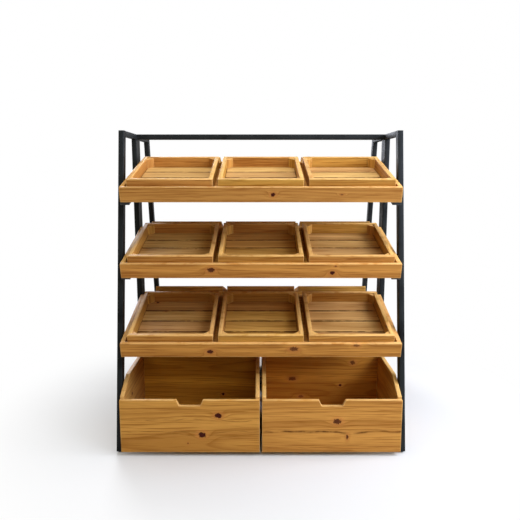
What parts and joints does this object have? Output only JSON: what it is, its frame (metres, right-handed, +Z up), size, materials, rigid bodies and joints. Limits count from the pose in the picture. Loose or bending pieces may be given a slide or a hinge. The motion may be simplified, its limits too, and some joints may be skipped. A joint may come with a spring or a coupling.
{
  "type": "market crate stand",
  "caption": "Free-standing double-sided display stand with a black steel A-frame, tilted wooden trays of loose crates and pull-out floor bins.",
  "frame": {"origin": "on the floor, under the middle of the stand", "axes": "+Z up, -Y towards the front face that the picture shows, +X to its right"},
  "size_m": [1.3, 1.154, 1.438],
  "materials": {
    "black_steel": "black powder coat, satin",
    "black_plastic": "moulded black plastic",
    "zinc_steel": "zinc plated",
    "tray_pine": "honey stained pine, matt oil",
    "crate_pine": "honey stained pine, matt oil",
    "bin_pine": "honey stained pine, matt oil"
  },
  "bodies": {
    "frame": {"front_left_leg": "black_steel", "front_right_leg": "black_steel", "rear_left_leg": "black_steel", "rear_right_leg": "black_steel", "front_left_post": "black_steel", "front_right_post": "black_steel", "rear_left_post": "black_steel", "rear_right_post": "black_steel", "front_left_top_bar": "black_steel", "front_right_top_bar": "black_steel", "rear_left_top_bar": "black_steel", "rear_right_top_bar": "black_steel", "front_crossbar": "black_steel", "rear_crossbar": "black_steel", "front_tie_bar": "black_steel", "rear_tie_bar": "black_steel", "front_left_rails": "black_steel", "front_right_rails": "black_steel", "rear_left_rails": "black_steel", "rear_right_rails": "black_steel", "rail_caps": "black_plastic", "leg_glides": "black_plastic", "frame_bolts": "zinc_steel", "frame_nuts": "zinc_steel", "tray_screws": "zinc_steel", "front_low_tray": "tray_pine", "front_middle_tray": "tray_pine", "front_top_tray": "tray_pine", "rear_low_tray": "tray_pine", "rear_middle_tray": "tray_pine", "rear_top_tray": "tray_pine"},
    "front_low_left_crate": {"front_low_left_crate": "crate_pine"},
    "front_low_centre_crate": {"front_low_centre_crate": "crate_pine"},
    "front_low_right_crate": {"front_low_right_crate": "crate_pine"},
    "front_middle_left_crate": {"front_middle_left_crate": "crate_pine"},
    "front_middle_centre_crate": {"front_middle_centre_crate": "crate_pine"},
    "front_middle_right_crate": {"front_middle_right_crate": "crate_pine"},
    "front_top_left_crate": {"front_top_left_crate": "crate_pine"},
    "front_top_centre_crate": {"front_top_centre_crate": "crate_pine"},
    "front_top_right_crate": {"front_top_right_crate": "crate_pine"},
    "rear_low_left_crate": {"rear_low_left_crate": "crate_pine"},
    "rear_low_centre_crate": {"rear_low_centre_crate": "crate_pine"},
    "rear_low_right_crate": {"rear_low_right_crate": "crate_pine"},
    "rear_middle_left_crate": {"rear_middle_left_crate": "crate_pine"},
    "rear_middle_centre_crate": {"rear_middle_centre_crate": "crate_pine"},
    "rear_middle_right_crate": {"rear_middle_right_crate": "crate_pine"},
    "rear_top_left_crate": {"rear_top_left_crate": "crate_pine"},
    "rear_top_centre_crate": {"rear_top_centre_crate": "crate_pine"},
    "rear_top_right_crate": {"rear_top_right_crate": "crate_pine"},
    "front_left_bin": {"front_left_bin": "bin_pine", "front_left_bin_glides": "black_plastic"},
    "front_right_bin": {"front_right_bin": "bin_pine", "front_right_bin_glides": "black_plastic"},
    "rear_left_bin": {"rear_left_bin": "bin_pine", "rear_left_bin_glides": "black_plastic"},
    "rear_right_bin": {"rear_right_bin": "bin_pine", "rear_right_bin_glides": "black_plastic"}
  },
  "joints": [
    {"name": "front_low_left_crate_lift", "type": "slide", "parent": "frame", "child": "front_low_left_crate", "axis": [0, -0.2588, 0.9659], "range_m": [0, 0.12]},
    {"name": "front_low_centre_crate_lift", "type": "slide", "parent": "frame", "child": "front_low_centre_crate", "axis": [0, -0.2588, 0.9659], "range_m": [0, 0.12]},
    {"name": "front_low_right_crate_lift", "type": "slide", "parent": "frame", "child": "front_low_right_crate", "axis": [0, -0.2588, 0.9659], "range_m": [0, 0.12]},
    {"name": "front_middle_left_crate_lift", "type": "slide", "parent": "frame", "child": "front_middle_left_crate", "axis": [0, -0.2588, 0.9659], "range_m": [0, 0.12]},
    {"name": "front_middle_centre_crate_lift", "type": "slide", "parent": "frame", "child": "front_middle_centre_crate", "axis": [0, -0.2588, 0.9659], "range_m": [0, 0.12]},
    {"name": "front_middle_right_crate_lift", "type": "slide", "parent": "frame", "child": "front_middle_right_crate", "axis": [0, -0.2588, 0.9659], "range_m": [0, 0.12]},
    {"name": "front_top_left_crate_lift", "type": "slide", "parent": "frame", "child": "front_top_left_crate", "axis": [0, -0.2588, 0.9659], "range_m": [0, 0.12]},
    {"name": "front_top_centre_crate_lift", "type": "slide", "parent": "frame", "child": "front_top_centre_crate", "axis": [0, -0.2588, 0.9659], "range_m": [0, 0.12]},
    {"name": "front_top_right_crate_lift", "type": "slide", "parent": "frame", "child": "front_top_right_crate", "axis": [0, -0.2588, 0.9659], "range_m": [0, 0.12]},
    {"name": "rear_low_left_crate_lift", "type": "slide", "parent": "frame", "child": "rear_low_left_crate", "axis": [0, 0.2588, 0.9659], "range_m": [0, 0.12]},
    {"name": "rear_low_centre_crate_lift", "type": "slide", "parent": "frame", "child": "rear_low_centre_crate", "axis": [0, 0.2588, 0.9659], "range_m": [0, 0.12]},
    {"name": "rear_low_right_crate_lift", "type": "slide", "parent": "frame", "child": "rear_low_right_crate", "axis": [0, 0.2588, 0.9659], "range_m": [0, 0.12]},
    {"name": "rear_middle_left_crate_lift", "type": "slide", "parent": "frame", "child": "rear_middle_left_crate", "axis": [0, 0.2588, 0.9659], "range_m": [0, 0.12]},
    {"name": "rear_middle_centre_crate_lift", "type": "slide", "parent": "frame", "child": "rear_middle_centre_crate", "axis": [0, 0.2588, 0.9659], "range_m": [0, 0.12]},
    {"name": "rear_middle_right_crate_lift", "type": "slide", "parent": "frame", "child": "rear_middle_right_crate", "axis": [0, 0.2588, 0.9659], "range_m": [0, 0.12]},
    {"name": "rear_top_left_crate_lift", "type": "slide", "parent": "frame", "child": "rear_top_left_crate", "axis": [0, 0.2588, 0.9659], "range_m": [0, 0.12]},
    {"name": "rear_top_centre_crate_lift", "type": "slide", "parent": "frame", "child": "rear_top_centre_crate", "axis": [0, 0.2588, 0.9659], "range_m": [0, 0.12]},
    {"name": "rear_top_right_crate_lift", "type": "slide", "parent": "frame", "child": "rear_top_right_crate", "axis": [0, 0.2588, 0.9659], "range_m": [0, 0.12]},
    {"name": "front_left_bin_pull", "type": "slide", "parent": "frame", "child": "front_left_bin", "axis": [0, -1, 0], "range_m": [0, 0.4]},
    {"name": "front_right_bin_pull", "type": "slide", "parent": "frame", "child": "front_right_bin", "axis": [0, -1, 0], "range_m": [0, 0.4]},
    {"name": "rear_left_bin_pull", "type": "slide", "parent": "frame", "child": "rear_left_bin", "axis": [0, 1, 0], "range_m": [0, 0.4]},
    {"name": "rear_right_bin_pull", "type": "slide", "parent": "frame", "child": "rear_right_bin", "axis": [0, 1, 0], "range_m": [0, 0.4]}
  ]
}
